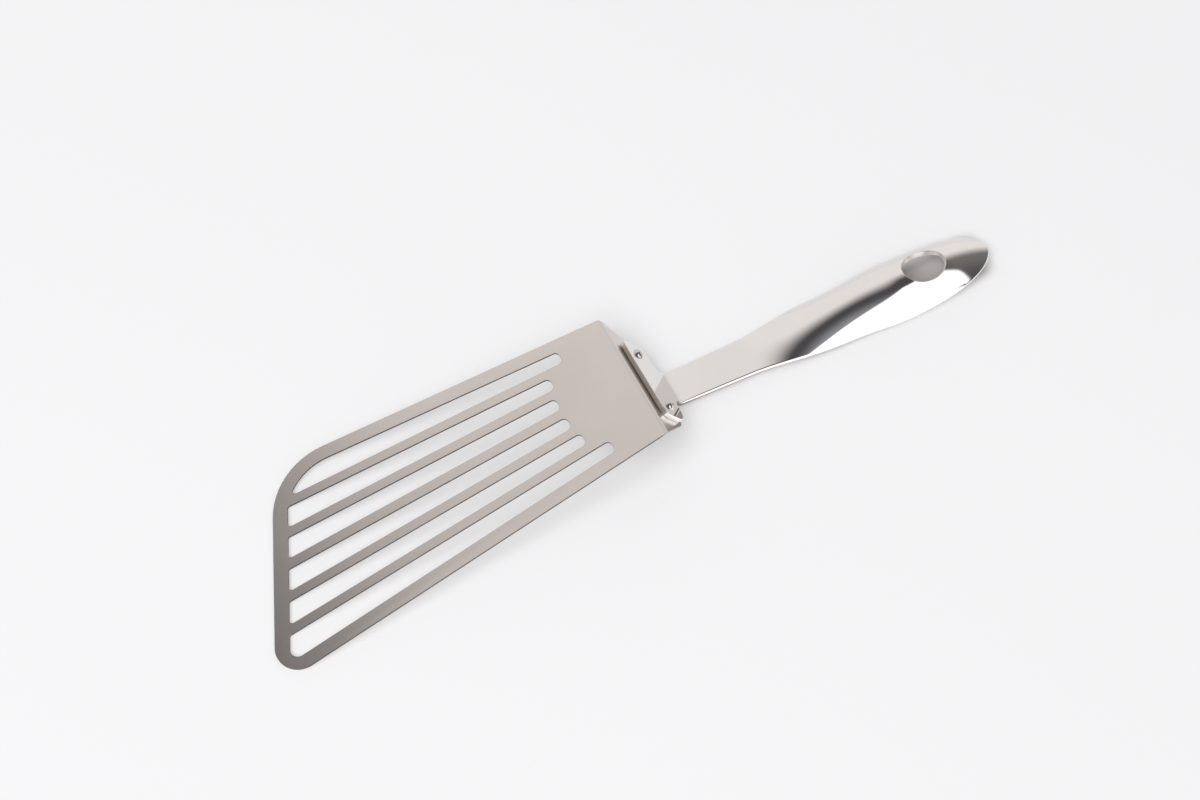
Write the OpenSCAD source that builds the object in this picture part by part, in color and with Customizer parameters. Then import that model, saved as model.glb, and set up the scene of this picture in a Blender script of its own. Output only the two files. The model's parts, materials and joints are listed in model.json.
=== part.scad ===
// Fish spatula: a thin slotted blade with a slanted front edge, whose bent tail
// is held by two rivets to a handle pressed from one strip of steel.
// The pieces are drawn in the blade's own frame: +X runs back to the handle,
// +Y to the blade's short side and +Z out of its face. The origin is the corner
// where the planes of the blade's face and of its tail meet. The module
// at_rest() then lays the spatula on Z = 0 as it lies on a table: the front
// edge flat down, and one rim of the grip touching.

/* [Blade] */
// Length of the blade from the tail's corner to the front edge, along the middle
blade_length = 149.3; // [130:0.1:190]
// Width of the blade at the tail's corner
blade_rear_w = 55; // [50:0.5:66]
// Angle by which each side edge spreads towards the front
side_flare = 4.75; // [3.5:0.25:6]
// Angle of the front edge off square
front_slant = 23; // [12:1:26]
// Thickness of the blade's sheet
blade_t = 0.8; // [0.6:0.1:1.2]
// Radius of the front corner on the long side
tip_r = 9.3; // [7:0.1:11]
// Radius of the front corner on the short side
shoulder_r = 28; // [20:1:30]

/* [Slots] */
// Width of the band between a side edge and the outer slot
rim_w = 5.25; // [4:0.25:6.5]
// Width of the band between the front edge and the slots
front_band = 5.7; // [4.5:0.1:7.5]
// Width of the bars between two slots
bar_w = 3.7; // [2.5:0.1:4.5]
// Width of the bar along the middle
middle_bar_w = 3.9; // [2.5:0.1:5]
// Share of the side flare that the bars fan out by
bar_fan = 0.92; // [0.7:0.02:1]
// Distance from the tail's corner to the rear end of the outer slots
outer_slot_start = 19.5; // [12:0.5:35]
// Distance from the tail's corner to the rear end of the second slots
second_slot_start = 27.2; // [12:0.1:40]
// Distance from the tail's corner to the rear end of the inner slots
inner_slot_start = 29; // [12:0.5:40]
// Radius of the corners at the rear end of a slot
slot_rear_r = 2; // [1:0.1:2.1]
// Radius of the corners at the front end of a slot
slot_front_r = 1.2; // [0.6:0.1:1.8]
// Radius of the outer slot's front corner on the long side
tip_slot_r = 3.2; // [1.2:0.1:4]

/* [Tail] */
// Angle by which the tail is bent down from the blade
tail_angle = 67; // [60:1:75]
// Radius of the bend on its outer side
tail_bend_r = 2; // [1.6:0.1:3]
// Length of the tail down from its corner
tail_length = 20.5; // [18:0.5:22]
// Width that the tail would have at its lower edge with sharp corners
tail_end_w = 37; // [34:0.5:44]
// Radius of the tail's lower corners
tail_corner_r = 4; // [2:0.5:6]

/* [Handle head] */
// Thickness of the handle's sheet
handle_t = 2; // [1.5:0.1:2.2]
// Distance down the tail from its corner to the head's upper edge
head_start = 5.7; // [4.5:0.1:7]
// Height of the head along the tail
head_h = 15.5; // [14:0.5:17]
// Width of the head
head_w = 37; // [34:0.5:40]
// Radius of the head's upper corners
head_upper_r = 4; // [2:0.5:6]
// Radius of the head's lower corners
head_lower_r = 6; // [3:0.5:7]
// Radius of the inner corners between head and neck
neck_fillet_r = 4; // [2:0.25:4.5]
// Distance down the tail from its corner to the corner where the neck folds
fold_drop = 27.4; // [27:0.1:32]
// Radius of the fold on its inner side
fold_r = 1.2; // [1:0.1:4]

/* [Grip] */
// Slope of the strip below the blade's plane
strip_slope = 10.8; // [8:0.1:13]
// Width of the neck at the fold
neck_w = 14.8; // [12:0.1:16]
// Length of the flat strip from the fold to where its sheet starts to curl
strip_length = 30; // [24:1:36]
// Width of the strip at the end of its flat part
strip_end_w = 16.2; // [15:0.1:18.5]
// Length of the handle from the fold to the nose
handle_length = 137.5; // [128:0.1:160]
// Distance from the fold to where the sheet is fully curled
curl_end = 82.4; // [70:1:92]
// Angle that each half of the sheet is curled through
curl_angle = 88.6; // [70:0.1:90]
// Width of the sheet at its widest, measured round the curl
sheet_w = 40.8; // [34:0.1:42]
// Distance from the fold to where the sheet is widest
sheet_peak = 95.7; // [93:0.1:100]
// Power of the sheet's outline at the nose: 2 gives an ellipse
nose_power = 1.66; // [1.5:0.02:2.4]
// Height by which the crown drops towards the nose
nose_drop = 8; // [3:0.1:9]
// Power of the crown's drop: the higher, the later it drops
nose_drop_power = 3.7; // [2:0.1:4]
// Distance from the fold to the middle of the hanging hole
hole_at = 108; // [104:0.1:112]
// Length of the hanging hole
hole_length = 18.1; // [15:0.1:18.5]
// Width of the hanging hole
hole_w = 13.5; // [9.4:0.1:14]
// Radius of the hanging hole's two ends
hole_end_r = 4.5; // [3.5:0.1:4.6]

/* [Rivets] */
// Distance from the head's sides to the rivets
rivet_edge = 5.9; // [5.5:0.1:7]
// Distance from the head's upper edge to the rivets
rivet_drop = 7.1; // [6:0.1:9]
// Diameter of the rivets' shanks
shank_d = 3.2; // [2.6:0.1:3.6]
// Gap between a shank and its hole, all round
shank_gap = 0.02; // [0.01:0.01:0.1]
// Diameter of the domed heads
dome_d = 4.4; // [4.2:0.1:6]
// Height of the domed heads
dome_h = 1.5; // [1.2:0.1:2]
// Diameter of the flat heads inside the tail
foot_d = 5; // [4.4:0.1:6]
// Height of the flat heads inside the tail
foot_h = 0.9; // [0.6:0.1:1.4]

/* [Hidden] */
$fn = 64;

// Largest turn between two points of a rounded corner, in degrees
arc_step = 6;
// Sections along the curled part of the grip, and around its nose
curl_steps = 28;
nose_steps = 18;
// Points across one section of the grip
across = 20;
// Length of a cut that runs right through whatever it meets
through = 400;
// Length by which a sheet is drawn past the outline that cuts it
spare = 5;
// Distance over which the sheet's direction is measured
probe = 0.01;

function unit(v) = v / norm(v);
function flat(lists) = [for (list = lists, item = list) item];
function polar(centre, r, angle) = centre + r * [cos(angle), sin(angle)];
function smooth(s) = s * s * (3 - 2 * s);
function ramp(from, to, at) = smooth(max(0, min(1, (at - from) / (to - from))));

// Where the line through p along d meets the line through q along e
function meet(p, d, q, e) =
    p + d * ((q - p).x * e.y - (q - p).y * e.x) / (d.x * e.y - d.y * e.x);

// Points of an arc from one angle to another
function arc(centre, r, from, to) =
    let (steps = max(1, ceil(abs(to - from) / arc_step)))
    [for (i = [0:steps]) polar(centre, r, from + (to - from) * i / steps)];

// Centre of a circle of radius r that touches both sides of the corner b
function corner_centre(a, b, c, r) =
    let (d = unit(a - b), e = unit(c - b), half = acos(d * e) / 2)
    b + unit(d + e) * r / sin(half);

// The corner b of the outline a, b, c, rounded by the radius r
function round_corner(a, b, c, r) =
    let (d = unit(a - b), e = unit(c - b))
    let (half = acos(d * e) / 2, reach = r / tan(half))
    let (centre = corner_centre(a, b, c, r))
    let (from = b + d * reach - centre, to = b + e * reach - centre)
    let (start = atan2(from.y, from.x))
    let (turn = atan2(from.x * to.y - from.y * to.x, from * to))
    arc(centre, r, start, start + turn);

// An outline with a radius at each of its corners
function rounded(corners, radii) =
    let (n = len(corners))
    flat([for (i = [0:n - 1])
        round_corner(corners[(i + n - 1) % n], corners[i], corners[(i + 1) % n], radii[i])]);

// Side view of a sheet with one bend. Its upper face runs along X to the corner at
// the origin and turns there, upwards for a positive turn, with the radius r.
function bent_sheet(before, after, turn, r, thickness) =
    let (side = sign(turn), start = -90 * side, centre = [-r * tan(abs(turn) / 2), side * r])
    let (end = after * [cos(turn), sin(turn)], down = thickness * [sin(turn), -cos(turn)])
    concat([[-before, 0]], arc(centre, r, start, start + turn), [end, end + down],
        arc(centre, r + side * thickness, start + turn, start), [[-before, -thickness]]);

// Blade, seen on its face. A line along it is [distance from the middle at X = 0,
// spread per length towards the front], and side is 1 or -1 for +Y or -Y.
flare = tan(side_flare);
rim_at = blade_rear_w / 2 - rim_w / cos(side_flare);
slot_pitch = (rim_at - middle_bar_w / 2 - 2 * bar_w) / 3 + bar_w;
edge_line = [blade_rear_w / 2, flare];
rim_line = [rim_at, flare];
middle_line = [middle_bar_w / 2, 0];
// Inner and outer edge of the bar number i, counted from the middle
function bar_line(i, outer) =
    [middle_bar_w / 2 + i * slot_pitch - (outer ? 0 : bar_w), flare * bar_fan * i / 3];

front_dir = [tan(front_slant), 1];
front_point = [-blade_length, 0];
slot_front_point = [front_band / cos(front_slant) - blade_length, 0];

// Point of a line at the distance x ahead of the tail's corner
function line_point(line, side, x) = [-x, side * (line.x + line.y * x)];
function line_dir(line, side) = [-1, side * line.y];
function line_end(line, side, front) =
    meet(line_point(line, side, 0), line_dir(line, side), front, front_dir);

tip = line_end(edge_line, -1, front_point);
shoulder = line_end(edge_line, 1, front_point);
// Its outline runs on past the tail's corner, down to where the tail ends
rear = [for (side = [-1, 1]) line_point(edge_line, side, -tail_length)];

// Outline of a slot between two lines, with its four corners rounded
function slot_outline(inner, outer, side, start, front_outer_r) =
    rounded([
        line_point(inner, side, start),
        line_point(outer, side, start),
        line_end(outer, side, slot_front_point),
        line_end(inner, side, slot_front_point)
    ], [slot_rear_r, slot_rear_r, front_outer_r, slot_front_r]);

// The outer slot on the short side runs into the shoulder's curve. Its point is a
// circle that touches that curve from inside and the slot's inner edge.
tip_centre = corner_centre(shoulder, tip, rear[0], tip_r);
shoulder_centre = corner_centre(rear[1], shoulder, tip, shoulder_r);
shoulder_slot_r = shoulder_r - rim_w;
point_line = bar_line(2, true);
point_dir = unit(line_dir(point_line, 1));
point_normal = [point_dir.y, -point_dir.x];
point_base = line_point(point_line, 1, 0) + point_normal * slot_front_r - shoulder_centre;
point_reach = sqrt(pow(shoulder_slot_r - slot_front_r, 2) - pow(point_base * point_normal, 2));
point_centre = shoulder_centre + point_base
    + point_dir * (point_reach - point_base * point_dir);
point_out = point_centre - shoulder_centre;
point_turn = atan2(point_out.y, point_out.x);
shoulder_slot = concat(
    round_corner(line_point(rim_line, 1, blade_length / 2), line_point(rim_line, 1, outer_slot_start),
        line_point(point_line, 1, outer_slot_start), slot_rear_r),
    round_corner(line_point(rim_line, 1, outer_slot_start), line_point(point_line, 1, outer_slot_start),
        line_point(point_line, 1, blade_length / 2), slot_rear_r),
    arc(point_centre, slot_front_r, 270 + atan(-point_line.y), point_turn),
    arc(shoulder_centre, shoulder_slot_r, point_turn, 90 - side_flare)
);

// Handle. Its strip lies in the frame [U along it, Y, W out of its upper face],
// whose origin is the corner where the planes of neck and strip meet.
tail_dir = [cos(tail_angle), 0, -sin(tail_angle)];
tail_out = [sin(tail_angle), 0, cos(tail_angle)];
fold_corner = tail_dir * fold_drop + tail_out * handle_t;
fold_angle = tail_angle - strip_slope;
strip_dir = [cos(strip_slope), 0, -sin(strip_slope)];
strip_out = [sin(strip_slope), 0, cos(strip_slope)];
strip_spread = (strip_end_w - neck_w) / 2 / strip_length;
sheet_reach = handle_length - sheet_peak;

// Half width of the sheet, measured round the curl, at the distance u from the
// fold: it swells in a curve up to the peak. full_half keeps that width to the
// nose, and sheet_half is what is left after the nose is cut round.
function full_half(u) =
    u < sheet_peak ? swell((u - strip_length) / (sheet_peak - strip_length)) : sheet_w / 2;
function swell(s) =
    strip_end_w / 2 * (1 - smooth(s)) + sheet_w / 2 * smooth(s)
    + (sheet_peak - strip_length) * strip_spread * s * (1 - s) * (1 - s);
function sheet_half(u) =
    u < sheet_peak ? full_half(u)
    : sheet_w / 2 * pow(1 - pow(min(1, (u - sheet_peak) / sheet_reach), nose_power), 1 / nose_power);

// Curl of the sheet at u, in degrees per length round it, and its radius
function curl(u) = curl_angle * ramp(strip_length, curl_end, u) / full_half(u);
function curl_r(u) = 180 / PI / curl(u);
// Height of the crown over the strip's face. Up to curl_end the inner edges of the
// sheet stay level with the strip's underside.
function crown(u) =
    curl(u) == 0 ? 0
    : (curl_r(u) - handle_t) * (1 - cos(curl(u) * full_half(u)))
    - nose_drop * pow(max(0, (u - curl_end) / (handle_length - curl_end)), nose_drop_power);

// Point of the sheet's outer face at u and at the distance v round it from its
// crown, the direction out of that face there, and the point of its inner face
function outer(u, v) =
    curl(u) == 0 ? [u, v, 0]
    : [u, curl_r(u) * sin(curl(u) * v), crown(u) - curl_r(u) * (1 - cos(curl(u) * v))];
function outward(u, v) =
    u == strip_length ? [0, 0, 1]
    : unit(cross(outer(u + probe, v) - outer(u - probe, v), outer(u, v + probe) - outer(u, v - probe)));
function inner(u, v) = outer(u, v) - handle_t * outward(u, v);

// Places of the sections along the grip. They crowd together towards the nose.
stations = concat(
    [for (i = [0:curl_steps]) strip_length + (sheet_peak - strip_length) * i / curl_steps],
    [for (i = [1:nose_steps - 1]) sheet_peak + sheet_reach * sin(90 * i / nose_steps)]
);
shares = [for (j = [0:across]) 2 * j / across - 1];

// The spatula at rest
function strip_point(p) = fold_corner + p.x * strip_dir + [0, p.y, 0] + p.z * strip_out;
rim_points = [for (u = stations, side = [-1, 1], face = [0, 1])
    strip_point(face == 0 ? outer(u, side * sheet_half(u)) : inner(u, side * sheet_half(u)))];
edge_foot = [front_point.x, 0, -blade_t];
edge_dir = unit([front_dir.x, front_dir.y, 0]);
// Slope from the front edge down to a point of the rims
function reach_slope(p) =
    let (q = p - edge_foot, level = [q.x, q.y, 0])
    q.z / norm(level - (level * edge_dir) * edge_dir);
slopes = [for (p = rim_points) reach_slope(p)];
rest_rim = rim_points[search(min(slopes), slopes)[0]];
rest_up = unit(cross(rest_rim - edge_foot, edge_dir));
rest_x = unit([1, 0, 0] - rest_up.x * rest_up);
rest_y = cross(rest_up, rest_x);

// Furthest that the spatula reaches along a direction
function blade_reach(d) =
    let (level = [d.x, d.y])
    max(level * tip_centre + norm(level) * tip_r,
        level * shoulder_centre + norm(level) * shoulder_r)
    + max(0, -d.z * blade_t);
nose = strip_point(outer(handle_length, 0));
function reach(d) = max(blade_reach(d), d * nose, max([for (p = rim_points) d * p]));
rest_mid = [(reach(rest_x) - reach(-rest_x)) / 2, (reach(rest_y) - reach(-rest_y)) / 2,
    rest_up * edge_foot];

module at_rest() {
    translate(-rest_mid) multmatrix([rest_x, rest_y, rest_up]) children();
}

// Frame of the tail's outer face: X down the tail, Y across, Z outwards
module on_tail() {
    rotate([0, tail_angle, 0]) children();
}

module on_strip() {
    translate(fold_corner) rotate([0, strip_slope, 0]) children();
}

module side_view(outline) {
    rotate([90, 0, 0]) linear_extrude(through, center = true) polygon(outline);
}

module blade() {
    color("gainsboro") at_rest() {
        difference() {
            intersection() {
                side_view(bent_sheet(through, tail_length + spare, -tail_angle, tail_bend_r,
                    blade_t));
                linear_extrude(through, center = true) blade_face();
                on_tail() linear_extrude(through, center = true) tail_face();
            }
            rivet_holes();
        }
    }
}

module blade_face() {
    difference() {
        polygon(concat([rear[1]], round_corner(rear[1], shoulder, tip, shoulder_r),
            round_corner(shoulder, tip, rear[0], tip_r), [rear[0]]));
        polygon(shoulder_slot);
        polygon(slot_outline(bar_line(2, true), rim_line, -1, outer_slot_start, tip_slot_r));
        for (side = [-1, 1]) {
            polygon(slot_outline(bar_line(1, true), bar_line(2, false), side, second_slot_start,
                slot_front_r));
            polygon(slot_outline(middle_line, bar_line(1, false), side, inner_slot_start,
                slot_front_r));
        }
    }
}

// The tail's outline, with its straight sides drawn on past the blade's front
module tail_face() {
    taper = (blade_rear_w - tail_end_w) / 2 / tail_length;
    front = [for (side = [-1, 1]) [-blade_length, side * (blade_rear_w / 2 + taper * blade_length)]];
    end = [for (side = [-1, 1]) [tail_length, side * tail_end_w / 2]];
    polygon(concat([front[0]], round_corner(front[0], end[0], end[1], tail_corner_r),
        round_corner(end[0], end[1], front[1], tail_corner_r), [front[1]]));
}

module at_rivet(side) {
    on_tail() translate([head_start + rivet_drop, side * (head_w / 2 - rivet_edge), 0])
        children();
}

module rivet_holes() {
    for (side = [-1, 1]) at_rivet(side)
        cylinder(h = through, d = shank_d + 2 * shank_gap, center = true);
}

module handle() {
    color("silver") at_rest() {
        difference() {
            union() {
                intersection() {
                    on_strip() flat_part();
                    on_tail() linear_extrude(through, center = true) head_face();
                }
                on_strip() intersection() {
                    flat_part();
                    linear_extrude(through, center = true) strip_face();
                }
                on_strip() grip();
            }
            rivet_holes();
            on_strip() hole_cut();
        }
    }
}

// The bent but uncurled part of the handle's sheet, from the head to the curl
module flat_part() {
    mirror([1, 0, 0])
        side_view(bent_sheet(strip_length, fold_drop, fold_angle, fold_r, handle_t));
}

// Outline of the head and neck, drawn on below the fold
module head_face() {
    upper = head_start;
    lower = head_start + head_h;
    neck_end = fold_drop + strip_length;
    polygon(concat(
        round_corner([lower, head_w / 2], [upper, head_w / 2], [upper, -head_w / 2], head_upper_r),
        round_corner([upper, head_w / 2], [upper, -head_w / 2], [lower, -head_w / 2], head_upper_r),
        round_corner([upper, -head_w / 2], [lower, -head_w / 2], [lower, 0], head_lower_r),
        round_corner([lower, -head_w / 2], [lower, -neck_w / 2], [neck_end, -neck_w / 2],
            neck_fillet_r),
        [[neck_end, -neck_w / 2], [neck_end, neck_w / 2]],
        round_corner([neck_end, neck_w / 2], [lower, neck_w / 2], [lower, head_w / 2],
            neck_fillet_r),
        round_corner([lower, 0], [lower, head_w / 2], [upper, head_w / 2], head_lower_r)
    ));
}

// Outline of the strip, whose straight sides start inside the neck
module strip_face() {
    polygon([for (end = [[-spare, -1], [-spare, 1], [strip_length, 1], [strip_length, -1]])
        [end.x, end.y * (neck_w / 2 + strip_spread * end.x)]]);
}

module grip() {
    n = across + 1;
    rings = len(stations);
    outer_points = flat([for (u = stations) [for (k = shares) outer(u, k * sheet_half(u))]]);
    inner_points = flat([for (u = stations) [for (k = shares) inner(u, k * sheet_half(u))]]);
    tips = [outer(handle_length, 0), inner(handle_length, 0)];
    shift = n * rings;
    last = n * (rings - 1);
    outer_tip = 2 * shift;
    inner_tip = outer_tip + 1;
    function quad(a, b, c, d) = [[a, b, c], [a, c, d]];
    faces = concat(
        flat([for (i = [0:rings - 2], j = [0:n - 2])
            quad(i * n + j, i * n + j + 1, (i + 1) * n + j + 1, (i + 1) * n + j)]),
        flat([for (i = [0:rings - 2], j = [0:n - 2])
            quad(shift + i * n + j, shift + (i + 1) * n + j, shift + (i + 1) * n + j + 1,
                shift + i * n + j + 1)]),
        flat([for (i = [0:rings - 2])
            quad(i * n, (i + 1) * n, shift + (i + 1) * n, shift + i * n)]),
        flat([for (i = [0:rings - 2])
            quad(i * n + n - 1, shift + i * n + n - 1, shift + (i + 1) * n + n - 1,
                (i + 1) * n + n - 1)]),
        flat([for (j = [0:n - 2]) quad(j, shift + j, shift + j + 1, j + 1)]),
        [for (j = [0:n - 2]) [last + j, last + j + 1, outer_tip]],
        [for (j = [0:n - 2]) [shift + last + j + 1, shift + last + j, inner_tip]],
        quad(last, outer_tip, inner_tip, shift + last),
        quad(outer_tip, last + n - 1, shift + last + n - 1, inner_tip)
    );
    polyhedron(concat(outer_points, inner_points, tips), faces);
}

// The cut of the hanging hole. Its long sides are square to the curled sheet, so
// their planes lean together down to the axis that the sheet is curled round.
module hole_cut() {
    r = curl_r(hole_at);
    axis_drop = sqrt(r * r - hole_w * hole_w / 4);
    edge_height = crown(hole_at) - r + axis_drop;
    translate([hole_at, 0, edge_height]) {
        linear_extrude(axis_drop, scale = [1, 2], slices = 1) hanging_hole();
        mirror([0, 0, 1])
            linear_extrude(axis_drop / 2, scale = [1, 1 / 2], slices = 1) hanging_hole();
    }
}

// Oval of four arcs that touch: two at its ends and two along its sides
module hanging_hole() {
    a = hole_length / 2;
    b = hole_w / 2;
    end_x = a - hole_end_r;
    side_r = (end_x * end_x + b * b - hole_end_r * hole_end_r) / (2 * (b - hole_end_r));
    touch_x = side_r * end_x / (side_r - hole_end_r);
    intersection() {
        translate([0, b - side_r]) circle(side_r);
        translate([0, side_r - b]) circle(side_r);
        square([2 * touch_x, hole_w], center = true);
    }
    for (end = [-1, 1]) translate([end * end_x, 0]) circle(hole_end_r);
}

module rivet(side) {
    color("lightgray") at_rest() at_rivet(side) {
        translate([0, 0, -blade_t]) cylinder(h = blade_t + handle_t, d = shank_d);
        translate([0, 0, handle_t]) dome(dome_d, dome_h);
        translate([0, 0, -blade_t - foot_h]) cylinder(h = foot_h, d = foot_d);
    }
}

// Cap of a sphere that stands on Z = 0
module dome(d, h) {
    r = (d * d / 4 + h * h) / (2 * h);
    intersection() {
        translate([0, 0, h - r]) sphere(r);
        cylinder(h = h, d = d);
    }
}

module upper_rivet() {
    rivet(1);
}

module lower_rivet() {
    rivet(-1);
}

blade();
handle();
upper_rivet();
lower_rivet();
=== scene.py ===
"""Slotted fish spatula: a satin blade whose bent tail is riveted to a polished handle.

Everything is in metres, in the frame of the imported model: +X from the blade to the
grip, +Y to the blade's short side and +Z up from the table that it lies on.
"""
import json
import math

import bmesh
import bpy
from mathutils import Matrix, Vector


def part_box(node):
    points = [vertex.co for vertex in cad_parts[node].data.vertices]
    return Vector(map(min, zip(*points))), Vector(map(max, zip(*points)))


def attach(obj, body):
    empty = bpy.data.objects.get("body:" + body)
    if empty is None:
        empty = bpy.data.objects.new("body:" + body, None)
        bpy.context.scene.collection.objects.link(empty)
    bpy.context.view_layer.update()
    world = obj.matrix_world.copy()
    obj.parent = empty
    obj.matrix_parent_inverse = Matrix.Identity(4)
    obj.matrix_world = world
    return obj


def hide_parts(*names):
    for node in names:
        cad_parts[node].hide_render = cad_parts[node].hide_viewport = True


bl_info = {
    "name": "Fish spatula",
    "version": (1, 0, 0),
    "blender": (4, 5, 0),
    "location": "3D View > Sidebar > Spatula",
    "description": "Builds a slotted fish spatula and the table that it lies on",
    "category": "Object",
}

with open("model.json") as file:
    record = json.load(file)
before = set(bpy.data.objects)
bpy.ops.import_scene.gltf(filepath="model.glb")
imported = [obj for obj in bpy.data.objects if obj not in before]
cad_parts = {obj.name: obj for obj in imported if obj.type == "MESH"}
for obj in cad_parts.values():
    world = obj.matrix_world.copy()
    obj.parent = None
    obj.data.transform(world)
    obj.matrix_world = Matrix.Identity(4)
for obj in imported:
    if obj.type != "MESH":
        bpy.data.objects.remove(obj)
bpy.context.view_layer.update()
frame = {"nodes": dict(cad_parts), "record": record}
MM = 0.001


def blade_frame():
    """The blade's own frame: X back to the handle, Y to its short side, Z out of its face."""
    face = next(m for m in frame["record"]["mounts"] if m["name"] == "blade_face")
    up = Vector(face["axis"]).normalized()
    rivets = [sum(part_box(name), Vector()) / 2 for name in ("lower_rivet", "upper_rivet")]
    across = rivets[1] - rivets[0]
    across = (across - up * across.dot(up)).normalized()
    along = across.cross(up)
    turn = Matrix((along, across, up)).transposed().to_4x4()
    # Millimetres from the face mount back to the tail's corner, the frame's origin
    back = 12
    return Matrix.Translation(Vector(face["pos_m"]) + along * back * MM) @ turn


BLADE = blade_frame()


# ---------------------------------------------------------------- node trees

class Value:
    """A socket of a node tree that can be used in a Python expression."""

    def __init__(self, tree, socket):
        self.tree = tree
        self.socket = socket

    def maths(self, operation, *others):
        return self.tree.maths(operation, self, *others)

    def __add__(self, other):
        return self.maths("ADD", other)

    def __sub__(self, other):
        return self.maths("SUBTRACT", other)

    def __mul__(self, other):
        return self.maths("MULTIPLY", other)

    def __truediv__(self, other):
        return self.maths("DIVIDE", other)

    def __pow__(self, other):
        return self.maths("POWER", other)

    def __radd__(self, other):
        return self.tree.maths("ADD", other, self)

    def __rsub__(self, other):
        return self.tree.maths("SUBTRACT", other, self)

    def __rmul__(self, other):
        return self.tree.maths("MULTIPLY", other, self)


class Tree:
    """A node tree that is written as expressions."""

    def __init__(self, tree):
        self.tree = tree

    def node(self, kind, settings=None, **sockets):
        """One node. Settings come first, then its sockets by name, or by number as _0, _1."""
        made = self.tree.nodes.new(kind)
        for key, value in (settings or {}).items():
            setattr(made, key, value)
        for key, value in sockets.items():
            socket = made.inputs[int(key[1:]) if key[0] == "_" else key.replace("_", " ")]
            self.feed(socket, value)
        return made

    def feed(self, socket, value):
        if isinstance(value, Value):
            value = value.socket
        if isinstance(value, bpy.types.NodeSocket):
            self.tree.links.new(value, socket)
        else:
            socket.default_value = value

    def out(self, made, name=0):
        return Value(self, made.outputs[name])

    def maths(self, operation, *values):
        numbered = {f"_{i}": value for i, value in enumerate(values)}
        return self.out(self.node("ShaderNodeMath", {"operation": operation}, **numbered))

    def parts(self, vector):
        split = self.node("ShaderNodeSeparateXYZ", _0=vector)
        return [self.out(split, i) for i in range(3)]

    def vector(self, x, y, z):
        return self.out(self.node("ShaderNodeCombineXYZ", X=x, Y=y, Z=z))

    def ramp(self, value, start, end, low=0.0, high=1.0):
        """Goes smoothly from low to high as the value goes from start to end."""
        made = self.node("ShaderNodeMapRange", {"interpolation_type": "SMOOTHSTEP"},
                         _0=value, _1=start, _2=end, _3=low, _4=high)
        return self.out(made)

    def colours(self, share, first, second):
        """Mixes two colours, each an expression or three numbers."""
        first, second = (part if isinstance(part, Value) else (*part, 1.0)
                         for part in (first, second))
        made = self.node("ShaderNodeMix", {"data_type": "RGBA"}, _0=share, _6=first, _7=second)
        return self.out(made, 2)

    def noise(self, place, scale, detail=2.0, roughness=0.5):
        made = self.node("ShaderNodeTexNoise", Vector=place, Scale=scale, Detail=detail,
                         Roughness=roughness)
        return self.out(made)

    def cut_mark(self):
        """How rough a face was left by the shear, which the mesh stores on it, and where its
        painted reflection goes.
        """
        return self.out(self.node("ShaderNodeAttribute", {"attribute_name": "cut"}), "Fac")


# ---------------------------------------------------------------- sizes and finishes

def length(name, description, default):
    """A length that is given in millimetres and kept in metres."""
    return bpy.props.FloatProperty(name=name, description=description, default=default * MM,
                                   min=0.0, unit="LENGTH", precision=5)


def angle(name, description, default):
    """An angle that is given in degrees and kept in radians."""
    return bpy.props.FloatProperty(name=name, description=description, unit="ROTATION",
                                   default=math.radians(default))


def colour(name, description, default):
    return bpy.props.FloatVectorProperty(name=name, description=description, default=default,
                                         size=3, min=0.0, max=1.0, subtype="COLOR")


def factor(name, description, default, most=1.0):
    return bpy.props.FloatProperty(name=name, description=description, default=default,
                                   min=0.0, max=most, subtype="FACTOR")


class SpatulaBladeSizes(bpy.types.PropertyGroup):
    edge_round: length("Edge rounding", "Radius of the stamped sheet's edges", 0.12)
    bend_radius: length("Bend radius", "Radius of the bend to the tail on its outer side", 2.0)
    steel: colour("Steel", "Colour of the satin steel", (0.665, 0.635, 0.615))
    # Near black: a painted dark reflection on the sheet's sheared edges
    sheared_edge_painted_reflection: colour("Cut steel", "Colour of the sheet's sheared edges", (0.06, 0.056, 0.055))
    # Colour of the painted shade along the joint between the tail and the head
    joint_painted_shade: colour("Joint steel", "Colour of the unpolished line along the joint",
                        (0.07, 0.065, 0.065))
    roughness: factor("Roughness", "How much the satin finish spreads the light", 0.16)
    grain: factor("Grain", "How strongly the fine satin grain shows", 0.35)


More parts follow.
